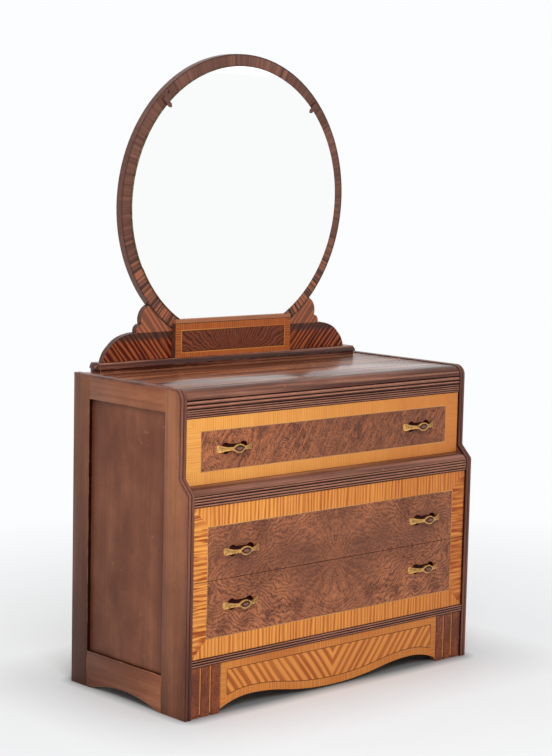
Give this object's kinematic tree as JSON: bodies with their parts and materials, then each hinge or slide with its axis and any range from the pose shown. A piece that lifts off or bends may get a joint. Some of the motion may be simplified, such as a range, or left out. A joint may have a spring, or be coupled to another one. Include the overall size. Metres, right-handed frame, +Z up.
{
  "type": "dressing chest with mirror",
  "caption": "Stepped veneered chest of drawers with reeded mouldings, shaped apron, bow handles and a round leaning mirror on a moulded base.",
  "frame": {"origin": "on the floor, below the middle of the whole object's width and depth", "axes": "+Z up, +X to the right as seen from the front, the front faces -Y"},
  "size_m": [1, 0.4922, 1.6155],
  "materials": {
    "side_walnut": "polished reddish walnut veneer",
    "top_walnut": "polished walnut veneer, grain along the top",
    "drawer_veneer": "burr walnut panel with crossbanded border, polished",
    "base_veneer": "polished figured veneer with dark stringing",
    "mirror_veneer": "polished crossbanded veneer",
    "dark_moulding": "dark stained, polished",
    "carcass_wood": "plain unpolished softwood",
    "plywood": "plain thin plywood",
    "handle_brass": "lacquered, worn",
    "insert_plastic": "mottled, glossy",
    "clip_metal": "brown lacquered steel",
    "steel": "plain",
    "mirror_glass": "silvered plate glass"
  },
  "bodies": {
    "carcass": {"apron": "base_veneer", "back_panel": "plywood", "base_moulding": "dark_moulding", "centre_box": "mirror_veneer", "front_bottom_rail": "carcass_wood", "glue_blocks": "carcass_wood", "left_bottom_rail": "side_walnut", "left_edge_bead": "dark_moulding", "left_foot_blocks": "base_veneer", "left_front_stile": "side_walnut", "left_rear_stile": "side_walnut", "left_side_panel": "side_walnut", "left_top_rail": "side_walnut", "left_wing": "mirror_veneer", "lower_runners": "carcass_wood", "middle_runners": "carcass_wood", "mirror_base_rail": "dark_moulding", "mirror_board": "mirror_veneer", "mirror_clips": "clip_metal", "mirror_glass": "mirror_glass", "mirror_posts": "carcass_wood", "mirror_screws": "steel", "right_bottom_rail": "side_walnut", "right_edge_bead": "dark_moulding", "right_foot_blocks": "base_veneer", "right_front_stile": "side_walnut", "right_rear_stile": "side_walnut", "right_side_panel": "side_walnut", "right_top_rail": "side_walnut", "right_wing": "mirror_veneer", "step_moulding": "dark_moulding", "top_board": "top_walnut", "top_moulding": "dark_moulding", "upper_divider_rail": "carcass_wood", "upper_runners": "carcass_wood"},
    "top_drawer": {"top_drawer_back": "carcass_wood", "top_drawer_bottom": "plywood", "top_drawer_front": "drawer_veneer", "top_drawer_handles": "handle_brass", "top_drawer_inserts": "insert_plastic", "top_drawer_left_side": "carcass_wood", "top_drawer_nuts": "steel", "top_drawer_right_side": "carcass_wood"},
    "middle_drawer": {"middle_drawer_back": "carcass_wood", "middle_drawer_bottom": "plywood", "middle_drawer_front": "drawer_veneer", "middle_drawer_handles": "handle_brass", "middle_drawer_inserts": "insert_plastic", "middle_drawer_left_side": "carcass_wood", "middle_drawer_nuts": "steel", "middle_drawer_right_side": "carcass_wood"},
    "bottom_drawer": {"bottom_drawer_back": "carcass_wood", "bottom_drawer_bottom": "plywood", "bottom_drawer_front": "drawer_veneer", "bottom_drawer_handles": "handle_brass", "bottom_drawer_inserts": "insert_plastic", "bottom_drawer_left_side": "carcass_wood", "bottom_drawer_nuts": "steel", "bottom_drawer_right_side": "carcass_wood"}
  },
  "joints": [
    {"name": "top_drawer_slide", "type": "slide", "parent": "carcass", "child": "top_drawer", "axis": [0, -1, 0], "range_m": [0, 0.3]},
    {"name": "middle_drawer_slide", "type": "slide", "parent": "carcass", "child": "middle_drawer", "axis": [0, -1, 0], "range_m": [0, 0.33]},
    {"name": "bottom_drawer_slide", "type": "slide", "parent": "carcass", "child": "bottom_drawer", "axis": [0, -1, 0], "range_m": [0, 0.33]}
  ]
}
